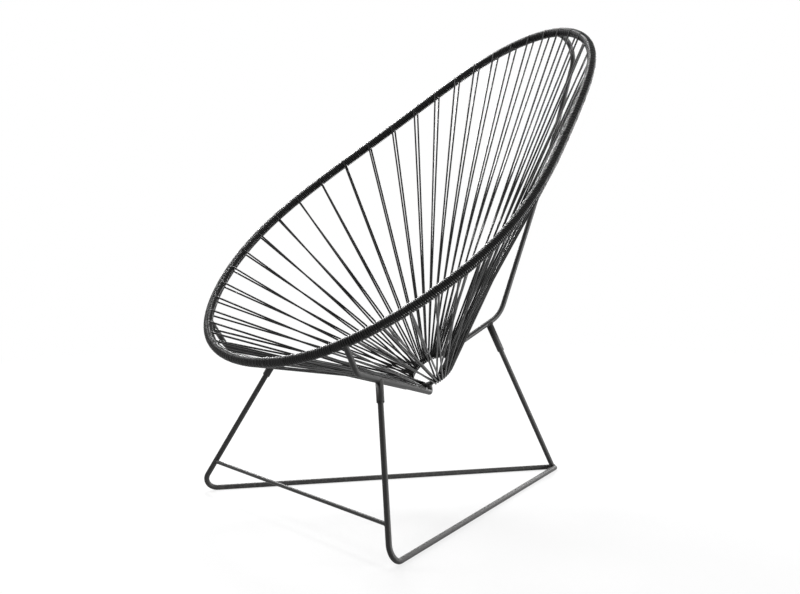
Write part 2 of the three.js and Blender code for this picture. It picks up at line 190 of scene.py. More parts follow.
cordLook = {
    "dark": grey(0.0015), "light": grey(0.004), "dust": grey(0.14, 0.05),
    "streakAround": 1.6, "streakAlong": 9.0, "streakDepth": 0.00005,
    "streakScale": 3.0, "streakDetail": 3.0, "streakRoughness": 0.6,
    "patchScale": 14.0, "patchDetail": 3.0, "roughness": 0.23, "roughnessSpread": 0.12,
    "dustShare": 0.02, "dustPower": 3, "specular": 0.24,
}


def makeCord():
    look = cordLook
    material, graph, shader = startMaterial("glossyBlackCord")
    where = graph.node("ShaderNodeTexCoord", output="Object")
    facing = graph.node("ShaderNodeNewGeometry", output="Normal")
    upward = graph.node("ShaderNodeSeparateXYZ", inputs={0: facing}, output="Z").clamped()
    section = graph.node("ShaderNodeAttribute", {"attribute_name": "section"}, output="Vector")
    along = graph.node("ShaderNodeAttribute", {"attribute_name": "along"}, output="Fac")
    lengthwise = graph.node("ShaderNodeCombineXYZ", inputs={2: along * look["streakAlong"]})
    grain = graph.vector("ADD", graph.scaled(section, look["streakAround"]), lengthwise)
    # Drawn lines that the die leaves.
    streaks = graph.noise(grain, look["streakScale"], look["streakDetail"], look["streakRoughness"])
    patches = graph.noise(where, look["patchScale"], look["patchDetail"])
    dust = upward ** look["dustPower"] * patches * look["dustShare"]
    colour = graph.blend(patches, look["dark"], look["light"])
    finishMaterial(graph, shader, {
        "Base Color": graph.blend(dust, colour, look["dust"]),
        "Roughness": look["roughness"] + streaks * look["roughnessSpread"] + dust,
        "Normal": graph.node("ShaderNodeBump", inputs={
            "Strength": 1.0, "Distance": look["streakDepth"], "Height": streaks}),
    }, {"Specular IOR Level": look["specular"]})
    return material


paint = makePaint()
cordFinish = makeCord()
print("materials made")


# These trees build pieces on guide lines.

def startTree(name, sockets):
    tree = bpy.data.node_groups.new(name, "GeometryNodeTree")
    tree.interface.new_socket("Geometry", in_out="INPUT", socket_type="NodeSocketGeometry")
    tree.interface.new_socket("Geometry", in_out="OUTPUT", socket_type="NodeSocketGeometry")
    for label, kind in sockets:
        tree.interface.new_socket(label, in_out="INPUT", socket_type="NodeSocket" + kind)
    graph = Graph(tree)
    return graph, graph.node("NodeGroupInput")


def read(graph, name):
    return graph.node("GeometryNodeInputNamedAttribute", {"data_type": "FLOAT"}, {"Name": name})


def sweepAndFinish(graph, given, curve, thickness):
    outline = graph.node("GeometryNodeCurvePrimitiveCircle", {"mode": "RADIUS"}, {
        "Resolution": given.of("Sides"), "Radius": given.of("Radius")})
    rounded = graph.scaled(graph.node("GeometryNodeInputPosition"), 1 / given.of("Radius"))
    marked = graph.node("GeometryNodeStoreNamedAttribute", {"data_type": "FLOAT_VECTOR"}, {
        "Geometry": outline, "Name": "section", "Value": rounded})
    length = graph.node("GeometryNodeSplineParameter", output="Length")
    measured = graph.node("GeometryNodeStoreNamedAttribute", {"data_type": "FLOAT"}, {
        "Geometry": curve, "Name": "along", "Value": length})
    swept = graph.node("GeometryNodeCurveToMesh", {}, {
        "Curve": measured, "Profile Curve": marked, "Scale": thickness, "Fill Caps": True})
    smooth = graph.node("GeometryNodeSetShadeSmooth", {}, {"Geometry": swept})
    whole = graph.node("GeometryNodeRealizeInstances", {}, {"Geometry": smooth})
    painted = graph.node("GeometryNodeSetMaterial", {}, {
        "Geometry": whole, "Material": given.of("Material")})
    graph.node("NodeGroupOutput", {}, {"Geometry": painted})


def makeRodTree():
    graph, given = startTree("rodAlongGuide", (
        ("Radius", "Float"), ("Sides", "Int"), ("Material", "Material")))
    curve = graph.node("GeometryNodeMeshToCurve", {}, {"Mesh": given})
    sweepAndFinish(graph, given, curve, read(graph, "thickness"))
    return graph.tree


# Where a guide line is marked as wound, the cord turns round it; elsewhere it follows the line itself.
def makeCordTree():
    graph, given = startTree("cordAlongGuide", (
        ("Radius", "Float"), ("Sides", "Int"), ("Turn radius", "Float"), ("Step", "Float"),
        ("Ring middle", "Vector"), ("Material", "Material")))
    curve = graph.node("GeometryNodeMeshToCurve", {}, {"Mesh": given})
    wound = read(graph, "wound")
    isWound = wound.maths("GREATER_THAN", wound, 0.5)
    fine = graph.node("GeometryNodeResampleCurve", {"mode": "LENGTH"}, {
        "Curve": curve, "Selection": isWound, "Length": given.of("Step")})
    along = graph.node("GeometryNodeInputTangent")
    toRing = graph.vector("SUBTRACT", given.of("Ring middle"), graph.node("GeometryNodeInputPosition"))
    alongShare = graph.vector("DOT_PRODUCT", toRing, along)
    square = graph.vector("SUBTRACT", toRing, graph.scaled(along, alongShare))
    inward = graph.vector("NORMALIZE", square)
    across = graph.vector("CROSS_PRODUCT", inward, along)
    phase = read(graph, "phase")
    inPart = graph.scaled(inward, phase.maths("COSINE", phase) * given.of("Turn radius"))
    acrossPart = graph.scaled(across, phase.maths("SINE", phase) * given.of("Turn radius"))
    turned = graph.node("GeometryNodeSetPosition", {}, {
        "Geometry": fine, "Selection": isWound, "Offset": graph.vector("ADD", inPart, acrossPart)})
    sweepAndFinish(graph, given, turned, read(graph, "thickness"))
    return graph.tree


beadShape = {"stepsPerRipple": 6, "leastThickness": 0.75, "unevenShare": 0.5, "unevenScale": 300.0}


# A bead swells and shrinks in small even ripples along its seam, and a little unevenly from place to place.
def makeBeadTree():
    graph, given = startTree("weldBeadAlongGuide", (
        ("Radius", "Float"), ("Sides", "Int"), ("Ripple", "Float"), ("Ripple share", "Float"),
        ("Seed", "Float"), ("Material", "Material")))
    curve = graph.node("GeometryNodeMeshToCurve", {}, {"Mesh": given})
    fine = graph.node("GeometryNodeResampleCurve", {"mode": "LENGTH"}, {
        "Curve": curve, "Length": given.of("Ripple") / beadShape["stepsPerRipple"]})
    length = graph.node("GeometryNodeSplineParameter", output="Length")
    turn = length * (2 * math.pi) / given.of("Ripple")
    uneven = graph.node("ShaderNodeTexNoise", {"noise_dimensions": "4D"}, {
        "Vector": graph.node("GeometryNodeInputPosition"), "W": given.of("Seed"),
        "Scale": beadShape["unevenScale"]})
    ripple = turn.maths("SINE", turn) * given.of("Ripple share")
    thickness = beadShape["leastThickness"] + ripple + uneven * beadShape["unevenShare"]
    sweepAndFinish(graph, given, fine, thickness)
    return graph.tree


rodTree = makeRodTree()
cordTree = makeCordTree()
beadTree = makeBeadTree()
print("node trees made")


# The hoop, the ring, and how places on them are told.

rimSizes = {
    "halfLength": 469.7, "halfWidth": 322.6, "shape": (1, -0.405, -0.05, 0.474, 0.151, -0.302),
    "lean": math.radians(38), "middle": Vector((0, -18.4, 586.2)), "topCurl": 18.5,
    "rodRadius": 5.0, "steps": 260, "sides": 20,
}
leanUp = Vector((0, math.cos(rimSizes["lean"]), math.sin(rimSizes["lean"])))
leanOut = Vector((0, -math.sin(rimSizes["lean"]), math.cos(rimSizes["lean"])))

bays = {"count": 50, "spread": 0.1, "perLength": 5, "armBay": 20, "fit": 0.3}
cordSizes = {
    "radius": 1.85, "sides": 6, "pitch": 3.73, "stepsPerTurn": 12, "touch": 0.05,
    "loopGap": 0.2, "loopStepShare": 0.5, "loopSteps": 9, "arcSteps": 5, "leaveRise": 0.4,
    "guideStep": 4.0, "leastGuides": 4, "stepTries": 3,
}
rodRadius = 5.0
ringSizes = {
    "middle": Vector((0, 19.8, 241.5)), "rodRadius": 4.0,
    "leanRoom": 0.7, "stepRoom": 1.5, "steps": 90, "sides": 18,
}
smallTurn = 1e-4


def rimPoint(angle):
    height = math.cos(angle)
    swell = sum(share * height ** power for power, share in enumerate(rimSizes["shape"]))
    curl = rimSizes["topCurl"] * height ** 2 * (1 + height) / 2
    place = rimSizes["middle"] + right * (rimSizes["halfWidth"] * math.sin(angle) * swell)
    return place + leanUp * (rimSizes["halfLength"] * height) + leanOut * curl


def rimSpeed(angle):
    return (rimPoint(angle + smallTurn) - rimPoint(angle - smallTurn)).length / (2 * smallTurn)


def rimAxes(angle):
    place = rimPoint(angle)
    along = (rimPoint(angle + smallTurn) - rimPoint(angle - smallTurn)).normalized()
    inward = ringSizes["middle"] - place
    inward = (inward - along * inward.dot(along)).normalized()
    return place, along, inward, inward.cross(along)


def bayAngle(bay):
    even = bay / bays["count"] * 2 * math.pi
    return even + bays["spread"] * math.sin(even)


# The ring is as large as its loops of cord and the rods between them need, side by side.
loopPitch = 2 * cordSizes["radius"] + cordSizes["loopGap"]
loopRadius = ringSizes["rodRadius"] + cordSizes["radius"] + bays["fit"]
backRoom = 2 * rodRadius + 2 * cordSizes["radius"] + 2 * bays["fit"] + ringSizes["stepRoom"]
armRoom = backRoom + ringSizes["leanRoom"]
innerRadius = ((bays["count"] - 3) * loopPitch + backRoom + 2 * armRoom) / (2 * math.pi)
ringRadius = innerRadius + loopRadius
armRingAngle = (backRoom / 2 + (bays["armBay"] - 1) * loopPitch + armRoom / 2) / innerRadius
frontBays = bays["count"] - 2 * bays["armBay"]


def ringAngle(bay):
    if bay >= bays["armBay"] + frontBays:
        return -ringAngle(bays["count"] - 1 - bay)
    if bay >= bays["armBay"]:
        return armRingAngle + (armRoom / 2 + (bay - bays["armBay"]) * loopPitch) / innerRadius
    return (backRoom / 2 + bay * loopPitch) / innerRadius


def ringPoint(angle):
    sideways = right * (ringRadius * math.sin(angle))
    return ringSizes["middle"] + leanUp * (ringRadius * math.cos(angle)) + sideways


def ringTangent(angle):
    return right * math.cos(angle) - leanUp * math.sin(angle)


# The frame's origin lies elsewhere along Y, which the ring's own box tells.
ringLow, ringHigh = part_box("centre_ring")
frameShift = Vector((0, (ringLow.y + ringHigh.y) / 2 / metre - ringSizes["middle"].y, 0))


def inMetres(point):
    return (point + frameShift) * metre


# From guide lines to finished pieces.

def grow(name, runs, tree, values, closed=False):
    points, edges, marks = [], [], {}
    for run in runs:
        first = len(points)
        count = len(run["points"])
        points += [inMetres(point) for point in run["points"]]
        edges += [(first + i, first + i + 1) for i in range(count - 1)]
        if closed:
            edges.append((first + count - 1, first))
        for key, value in run.items():
            if key != "points":
                numbers = value if isinstance(value, list) else [value] * count
                marks.setdefault(key, []).extend(numbers)
    mesh = bpy.data.meshes.new(name)
    mesh.from_pydata(points, edges, [])
    for key, numbers in marks.items():
        mesh.attributes.new(key, "FLOAT", "POINT").data.foreach_set("value", numbers)
    piece = bpy.data.objects.new(name, mesh)
    bpy.context.collection.objects.link(piece)
    maker = piece.modifiers.new(name, "NODES")
    maker.node_group = tree
    for item in tree.interface.items_tree:
        if item.name in values:
            maker[item.identifier] = values[item.name]
    depsgraph = bpy.context.evaluated_depsgraph_get()
    finished = bpy.data.meshes.new_from_object(piece.evaluated_get(depsgraph))
    for key in marks:
        if key in finished.attributes:
            finished.attributes.remove(finished.attributes[key])
    piece.modifiers.clear()
    piece.data = finished
    finished.name = name
    return piece


def settle(piece, slot, *nodes):
    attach(piece, "root")
    if nodes:
        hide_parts(*nodes)
    return piece


def growRod(name, points, radius, sides, nodes, closed=False, thickness=1.0):
    values = {"Radius": radius * metre, "Sides": sides, "Material": paint}
    runs = [{"points": points, "thickness": thickness}]
    return settle(grow(name, runs, rodTree, values, closed), "paint", *nodes)


# A path runs straight between its corners, with an arc at each inner one.
def bentPath(corners, radii, steps=14):
    directions = [(after - before).normalized() for before, after in zip(corners, corners[1:])]
    path = [corners[0]]
    for i, radius in enumerate(radii):
        before, after = directions[i], directions[i + 1]
        turn = before.angle(after)
        inward = (after - before * before.dot(after)).normalized()
        start = corners[i + 1] - before * (radius * math.tan(turn / 2))
        centre = start + inward * radius
        for step in range(steps + 1):
            angle = turn * step / steps
            forward = before * (radius * math.sin(angle))
            path.append(centre - inward * (radius * math.cos(angle)) + forward)
    path.append(corners[-1])
    return path


rimLine = [rimPoint(i / rimSizes["steps"] * 2 * math.pi) for i in range(rimSizes["steps"])]
growRod("rimHoop", rimLine, rimSizes["rodRadius"], rimSizes["sides"], ["rim_hoop"], closed=True)
ringLine = [ringPoint(i / ringSizes["steps"] * 2 * math.pi) for i in range(ringSizes["steps"])]
growRod("centreRing", ringLine, ringSizes["rodRadius"], ringSizes["sides"], ["centre_ring"], closed=True)
print("hoop and ring made")


# The three arms between the ring and the hoop.

backArmSizes = {
    "topBehind": 68.9, "topBelow": 13.0, "topRadius": 48.0,
    "bow": 9.9, "bowShare": 0.457, "bowRunShare": 0.117,
    "low": Vector((0, 197.8, 333)), "lowRadius": 60.0, "sides": 24,
}
hoopTop = rimPoint(0)
backTop = hoopTop + Vector((0, backArmSizes["topBehind"], -backArmSizes["topBelow"]))
backLow = backArmSizes["low"]
backStretch = backLow - backTop
bowOut = right.cross(backStretch).normalized()
backMiddle = backTop + backStretch * backArmSizes["bowShare"] + bowOut * backArmSizes["bow"]
bowTurn = (backMiddle - backTop).angle(backLow - backMiddle)
bowRadius = backArmSizes["bowRunShare"] * backStretch.length / math.tan(bowTurn / 2)
backPath = bentPath([hoopTop, backTop, backMiddle, backLow, ringPoint(0)],
                    [backArmSizes["topRadius"], bowRadius, backArmSizes["lowRadius"]])
growRod("backArm", backPath, rodRadius, backArmSizes["sides"], ["back_arm"])

frontArmSizes = {
    "stubLength": 17.0, "stubLean": 0.6, "stubRadius": 8.0,
    "bendInward": 9.3, "bendBehind": 31.6, "bendBelow": 53.2, "bendRadius": 20.0, "sides": 24,
}


def frontArmCorners():
    start = ringPoint(armRingAngle)
    along = ringTangent(armRingAngle)
    stub = (up - along * (frontArmSizes["stubLean"] * up.dot(along))).normalized()
    hoopPlace = rimPoint(bayAngle(bays["armBay"]))
    shift = Vector((-frontArmSizes["bendInward"], frontArmSizes["bendBehind"], -frontArmSizes["bendBelow"]))
    return [start, start - stub * frontArmSizes["stubLength"], hoopPlace + shift, hoopPlace]


def mirrored(points):
    return [Vector((-point.x, point.y, point.z)) for point in points]


armCorners = frontArmCorners()
armPath = bentPath(armCorners, [frontArmSizes["stubRadius"], frontArmSizes["bendRadius"]])
growRod("frontArmLeft", armPath, rodRadius, frontArmSizes["sides"], ["front_arm_left"])
growRod("frontArmRight", mirrored(armPath), rodRadius, frontArmSizes["sides"], ["front_arm_right"])
print("arms made")


# The base: two rods with a leg and a rail each, the rear leg and the crossbar.

baseSizes = {
    "frontFoot": (300.0, -308.3), "footRadius": 22.0, "rearFoot": 350.5, "overrun": 6.0,
    "legStop": 12.0, "sides": 24, "frameSides": 12, "domeSteps": 6, "tipShare": 0.04,
    "crossbarHeight": 61.0, "crossbarRadius": 3.5, "crossbarSides": 20,
}
sleeveSizes = {
    "frontShare": 0.735, "frontLength": 40.0, "rearShare": 0.79, "rearLength": 66.0,
    "bore": 5.3, "wall": 1.45, "lip": 0.5, "lipSteps": 4, "sides": 40,
}
# The rails lie as high as in the frame, whose rods have flats.
railHeight = rodRadius * math.cos(math.pi / baseSizes["frameSides"])
frontSocket = armCorners[1].lerp(armCorners[2], sleeveSizes["frontShare"])
rearSocket = ringPoint(0).lerp(backLow, sleeveSizes["rearShare"])
frontCorner = Vector((*baseSizes["frontFoot"], railHeight))
rearCorner = Vector((0, baseSizes["rearFoot"], railHeight))
legAlong = (frontSocket - frontCorner).normalized()
rearLegAlong = (rearSocket - rearCorner).normalized()
legEnd = frontSocket - legAlong * baseSizes["legStop"]
besideFoot = rearCorner + right * (rodRadius + bays["fit"])
railAlong = (besideFoot - frontCorner).normalized()
railEnd = besideFoot + railAlong * baseSizes["overrun"]


# The start of a path is rounded: this gives the points and the thickness at each.
def domed(path, radius):
    steps = baseSizes["domeSteps"]
    back = (path[0] - path[1]).normalized()
    angles = [math.pi / 2 * i / steps for i in range(steps, 0, -1)]
    cap = [path[0] + back * (radius * (math.sin(angle) - 1)) for angle in angles]
    sizes = [max(math.cos(angle), baseSizes["tipShare"]) for angle in angles]
    base = path[0] - back * radius
    return [*cap, base, *path[1:]], [*sizes, 1.0, *[1.0] * (len(path) - 1)]


railCorners = [railEnd, frontCorner, legEnd]
railPath, railThickness = domed(bentPath(railCorners, [baseSizes["footRadius"]]), rodRadius)
for name, path, node in (("baseRodLeft", railPath, "base_rod_left"),
                         ("baseRodRight", mirrored(railPath), "base_rod_right")):
    growRod(name, path, rodRadius, baseSizes["sides"], [node], thickness=railThickness)
rearLegEnd = rearSocket - rearLegAlong * baseSizes["legStop"]
growRod("rearLeg", [rearCorner, rearLegEnd], rodRadius, baseSizes["sides"], ["rear_leg"])
barShare = (baseSizes["crossbarHeight"] - railHeight) / (legEnd.z - railHeight)
barEnd = frontCorner.lerp(legEnd, barShare)
barLine = [*mirrored([barEnd]), barEnd]
growRod("baseCrossbar", barLine, baseSizes["crossbarRadius"], baseSizes["crossbarSides"], ["base_crossbar"])
print("base made")


# The sleeves that the legs plug into.

def turnedPipe(name, foot, top, sizes, node):
    along = (top - foot).normalized()
    first = (right - along * right.dot(along)).normalized()
    second = along.cross(first)
    inner, lip = sizes["bore"], sizes["lip"]
    outer = inner + sizes["wall"]
    length = (top - foot).length
    angles = [math.pi / 2 * i / sizes["lipSteps"] for i in range(sizes["lipSteps"] + 1)]
    outline = [(outer, length)]
    for angle in angles:
        outline.append((outer - lip + lip * math.cos(angle), lip - lip * math.sin(angle)))
    for angle in angles:
        outline.append((inner + lip - lip * math.sin(angle), lip - lip * math.cos(angle)))
    outline.append((inner, length))
    sides = sizes["sides"]
    points, faces = [], []
    for radius, rise in outline:
        for side in range(sides):
            angle = 2 * math.pi * side / sides
            out = first * math.cos(angle) + second * math.sin(angle)
            points.append(inMetres(foot + along * rise + out * radius))
    rows = len(outline)
    for row in range(rows):
        for side in range(sides):
            following = (side + 1) % sides
            below = ((row + 1) % rows) * sides
            here = row * sides
            faces.append((here + side, below + side, below + following, here + following))
    mesh = bpy.data.meshes.new(name)
    mesh.from_pydata(points, [], faces)
    mesh.materials.append(paint)
    mesh.shade_smooth()
    piece = bpy.data.objects.new(name, mesh)
    bpy.context.collection.objects.link(piece)
    return settle(piece, "paint", node)


sleeveFoot = frontSocket - legAlong * sleeveSizes["frontLength"]
turnedPipe("legSleeveLeft", sleeveFoot, frontSocket, sleeveSizes, "leg_sleeve_left")
turnedPipe("legSleeveRight", *mirrored([sleeveFoot, frontSocket]), sleeveSizes, "leg_sleeve_right")
rearSleeveFoot = rearSocket - rearLegAlong * sleeveSizes["rearLength"]
turnedPipe("legSleeveRear", rearSleeveFoot, rearSocket, sleeveSizes, "leg_sleeve_rear")
print("sleeves made")


# The cord: winding on the hoop, strands to the ring, and the lanes beside an arm.

def isArmPlace(bay):
    return bay % bays["count"] in (0, bays["armBay"], bays["count"] - bays["armBay"])


armDirections = {
    0: backTop - hoopTop,
    bays["armBay"]: armCorners[2] - armCorners[3],
    bays["count"] - bays["armBay"]: mirrored([armCorners[2] - armCorners[3]])[0],
}


# Where on the hoop's round the cord passes from one length to the next.
# At an arm, it is the arm's side.
def partPhase(bay):
    if not isArmPlace(bay):
        return math.pi
    direction = armDirections[bay % bays["count"]]
    _, _, inward, across = rimAxes(bayAngle(bay))
    return math.atan2(direction.dot(across), direction.dot(inward)) % (2 * math.pi)


# The cord turns on with falling phase, in as many turns as bring it to the phase at the end.
def woundRun(fromAngle, toAngle, fromPhase, toPhase):
    length = (toAngle - fromAngle) * rimSpeed((fromAngle + toAngle) / 2)
    extra = ((fromPhase - toPhase) / (2 * math.pi)) % 1
    turns = round(length / cordSizes["pitch"] - extra) + extra
    count = max(cordSizes["leastGuides"], round(length / cordSizes["guideStep"]))
    shares = [i / count for i in range(count + 1)]
    return {
        "points": [rimPoint(fromAngle + (toAngle - fromAngle) * share) for share in shares],
        "phase": [fromPhase - 2 * math.pi * turns * share for share in shares],
        "wound": 1.0, "thickness": 1.0,
    }


def shifted(angle, distance):
    return angle + distance / rimSpeed(angle)


hoopReach = rimSizes["rodRadius"] + cordSizes["radius"] + cordSizes["touch"]


def hoopSpot(angle, distance, phase, rise=0.0):
    place, _, inward, across = rimAxes(shifted(angle, distance))
    return place + (inward * math.cos(phase) + across * math.sin(phase)) * (hoopReach + rise)


# At an arm the cord can't go all round, so it doubles back on each side of the arm until it is past.
armLanes = {
    "count": 5, "steps": 10, "wideEnd": math.radians(56), "closeEnd": math.radians(95),
    "bulge": 0.27, "turnShares": ((0.15, 0.7), (0.5, 1), (0.85, 0.7)), "slideSpeed": 3,
}


def armEndSpace():  # how far from the arm's middle the winding stops
    return armLanes["count"] / 2 * cordSizes["pitch"]


def crossingRun(bay):
    angle = bayAngle(bay)
    blocked = partPhase(bay)
    pitch = cordSizes["pitch"]
    last = armLanes["count"] - 1
    wide, close, speed = armLanes["wideEnd"], armLanes["closeEnd"], armLanes["slideSpeed"]
    ends = [0, wide, close, close, wide, 0]
    spots = []
    for lane in range(armLanes["count"]):
        place = (lane - last / 2) * pitch
        before, after = ends[lane], ends[lane + 1]
        fromPhase = blocked - before if lane % 2 == 0 else blocked - 2 * math.pi + before
        toPhase = blocked - 2 * math.pi + after if lane % 2 == 0 else blocked - after
        for i in range(armLanes["steps"] + 1):
            share = i / armLanes["steps"]
            slide = 0.0
            if lane == 0:
                slide = -pitch / 2 * max(0, 1 - speed * share)
            if lane == last:
                slide = pitch / 2 * max(0, speed * share - (speed - 1))
            spots.append(hoopSpot(angle, place + slide, fromPhase + (toPhase - fromPhase) * share))
        if lane < last:
            turn = -armLanes["bulge"] if lane % 2 == 0 else armLanes["bulge"]
            for aside, bulge in armLanes["turnShares"]:
                spots.append(hoopSpot(angle, place + aside * pitch, toPhase + turn * bulge))
    return {"points": spots, "phase": 0.0, "wound": 0.0, "thickness": 1.0}


# How near the two halves of a strand pass each other where they cross.
def crossingDistance(ends, turnEnds):
    first, second = [turnEnd - end for end, turnEnd in zip(ends, turnEnds)]
    return abs((ends[0] - ends[1]).dot(first.cross(second).normalized()))


# How far the halves leave the hoop from the station, so that they just clear each other.
def strandStep(angle, turnEnds):
    def place(step):
        return [hoopSpot(angle, -step, math.pi / 2), hoopSpot(angle, step, -math.pi / 2)]

    before, step = 0.0, cordSizes["radius"]
    for _ in range(cordSizes["stepTries"]):
        near, far = [crossingDistance(place(trial), turnEnds) for trial in (before, step)]
        wanted = 2 * cordSizes["radius"] + cordSizes["touch"]
        before, step = step, step + (wanted - far) * (step - before) / (far - near)
    return step


# A strand leaves the hoop on the sitter's side, rounds the ring from behind
# and comes back behind the hoop.
def strandRun(bay):
    angle = bayAngle(bay + 0.5)
    place, _, _, across = rimAxes(angle)
    spot = ringPoint(ringAngle(bay))
    along = ringTangent(ringAngle(bay))
    outward = place - spot
    outward = (outward - along * outward.dot(along)).normalized()
    sitterSide = along.cross(outward)
    if sitterSide.dot(across) < 0:
        sitterSide.negate()
    half = cordSizes["pitch"] / 2
    reach = loopRadius - bays["fit"]
    loopStep = cordSizes["loopStepShare"] * loopPitch / innerRadius
    turn = []
    for i in range(cordSizes["loopSteps"] + 1):
        share = i / cordSizes["loopSteps"]
        phase = math.pi * share
        middle = ringPoint(ringAngle(bay) + (2 * share - 1) * loopStep)
        turn.append(middle - (sitterSide * math.cos(phase) + outward * math.sin(phase)) * reach)
    step = strandStep(angle, [turn[0], turn[-1]])
    leaving, arriving = [], []
    for i in range(cordSizes["arcSteps"] + 1):
        share = i / cordSizes["arcSteps"]
        moved = (half - step) * share
        rise = cordSizes["leaveRise"] * share
        leaving.append(hoopSpot(angle, moved - half, math.pi * (1 - share / 2), rise))
        arriving.append(hoopSpot(angle, moved + step, -math.pi / 2 * (1 + share)))
    return {"points": [*leaving, *turn, *arriving], "phase": 0.0, "wound": 0.0, "thickness": 1.0}


def cordRuns(firstBay):
    runs = []
    lastBay = firstBay + bays["perLength"]
    start = bayAngle(firstBay)
    if isArmPlace(firstBay):
        start = shifted(start, armEndSpace())
        runs.append(crossingRun(firstBay))
    phase = partPhase(firstBay)
    half = cordSizes["pitch"] / 2
    for bay in range(firstBay, lastBay):
        strand = bayAngle(bay + 0.5)
        runs.append(woundRun(start, shifted(strand, -half), phase, math.pi))
        runs.append(strandRun(bay))
        start = shifted(strand, half)
        phase = math.pi
    end = bayAngle(lastBay)
    if isArmPlace(lastBay):
        end = shifted(end, -armEndSpace())
    runs.append(woundRun(start, end, phase, partPhase(lastBay)))
    return runs


cordValues = {
    "Radius": cordSizes["radius"] * metre, "Sides": cordSizes["sides"],
    "Turn radius": hoopReach * metre, "Step": cordSizes["pitch"] * metre / cordSizes["stepsPerTurn"],
    "Ring middle": inMetres(ringSizes["middle"]), "Material": cordFinish,
}
for firstBay in range(0, bays["count"], bays["perLength"]):
    number = f"{firstBay // bays['perLength'] + 1:02d}"
    piece = grow(f"cordLength{number}", cordRuns(firstBay), cordTree, cordValues)
    settle(piece, "cord", f"cord_length_{number}")
print("cord strung")


# The weld beads.

weldSizes = {
    "radius": 1.5, "sides": 8, "ripple": 1.6, "rippleShare": 0.1, "seed": 4.0, "points": 36,
    "searchFrom": 16.0, "searchTo": -8.0, "searchStep": 0.2,
    "skinShares": (1, 0.95, 0.9, 0.85, 0.8, 0.75, 0.7, 0.65),
    "hoopSteps": 6, "hoopTurn": 0.01, "ringSteps": 8, "ringTurn": 0.05, "sleeveReach": 150.0,
    "crossbarShare": 0.8, "rearShare": 1.1,
}


def distanceToPath(point, path):
    least = math.inf
    for start, end in zip(path, path[1:]):
        run = end - start
        share = max(0, min(1, (point - start).dot(run) / run.length_squared))
        least = min(least, (point - start - run * share).length)
    return least


# The few stretches of a path near a sleeve's place.
def nearPart(path, place):
    near = [i for i, point in enumerate(path) if (point - place).length < weldSizes["sleeveReach"]]
    if not near:
        return path
    return path[max(0, near[0] - 1):near[-1] + 2]


# The line along which a rod's skin goes into other rods.
# Where the skin misses them, a line inside it is tried.
def weldSeam(place, along, radius, others):
    first = along.orthogonal().normalized()
    second = along.cross(first)
    seam = []
    for i in range(weldSizes["points"]):
        angle = 2 * math.pi * i / weldSizes["points"]
        out = first * math.cos(angle) + second * math.sin(angle)
        spot = None
        for share in weldSizes["skinShares"]:
            rise = weldSizes["searchFrom"]
            while rise > weldSizes["searchTo"] and spot is None:
                trial = place + along * rise + out * (radius * share)
                if any(distanceToPath(trial, path) < size for path, size in others):
                    spot = trial
                rise -= weldSizes["searchStep"]
            if spot:
                break
        if spot:
            seam.append(spot)
    return seam


def growWelds(name, seams, size=1.0):
    runs = [{"points": seam} for seam in seams]
    values = {
        "Radius": weldSizes["radius"] * size * metre, "Sides": weldSizes["sides"],
        "Ripple": weldSizes["ripple"] * metre, "Ripple share": weldSizes["rippleShare"],
        "Seed": weldSizes["seed"], "Material": paint,
    }
    return settle(grow(name, runs, beadTree, values, closed=True), "paint")


def hoopSeam(angle, nextCorner):
    place, steps = rimPoint(angle), weldSizes["hoopSteps"]
    hoopPart = [rimPoint(angle + i * weldSizes["hoopTurn"]) for i in range(-steps, steps + 1)]
    along = (nextCorner - place).normalized()
    return weldSeam(place, along, rodRadius, [(hoopPart, rimSizes["rodRadius"])])


def ringSeam(angle, nextCorner):
    place, steps = ringPoint(angle), weldSizes["ringSteps"]
    ringPart = [ringPoint(angle + i * weldSizes["ringTurn"]) for i in range(-steps, steps + 1)]
    along = (nextCorner - place).normalized()
    return weldSeam(place, along, rodRadius, [(ringPart, ringSizes["rodRadius"])])


armSeam = hoopSeam(bayAngle(bays["armBay"]), armCorners[2])
growWelds("hoopWelds", [hoopSeam(0, backTop), armSeam, mirrored(armSeam)])
stubSeam = ringSeam(armRingAngle, armCorners[1])
growWelds("ringWelds", [ringSeam(0, backLow), stubSeam, mirrored(stubSeam)])
sleeveOuter = sleeveSizes["bore"] + sleeveSizes["wall"]
armPart = nearPart(armPath, frontSocket)
backPart = nearPart(backPath, rearSocket)
sleeveSeam = weldSeam(frontSocket, -legAlong, sleeveOuter, [(armPart, rodRadius)])
rearSleeveSeam = weldSeam(rearSocket, -rearLegAlong, sleeveOuter, [(backPart, rodRadius)])
growWelds("sleeveWelds", [sleeveSeam, mirrored(sleeveSeam), rearSleeveSeam])
legLine = [frontCorner, legEnd]
barSeam = weldSeam(barEnd, -right, baseSizes["crossbarRadius"], [(legLine, rodRadius)])
growWelds("crossbarWelds", [barSeam, mirrored(barSeam)], weldSizes["crossbarShare"])
railLine = [railEnd, frontCorner]
rails = [(railLine, rodRadius), (mirrored(railLine), rodRadius)]
rearSeam = weldSeam(rearCorner, rearLegAlong, rodRadius, rails)
growWelds("rearWelds", [rearSeam], weldSizes["rearShare"])
print("welds made")


# Camera, floor and light.

cameraSettings = {
    "place": (1.7036, -1.3954, 0.5910), "azimuth": 0.90362, "elevation": 0.09363,
    "focalPixels": 1188.3, "middleShift": (-0.10, -2.35), "imageWidth": 800, "sensor": 36.0,
    "nearest": 0.05, "furthest": 100,
}


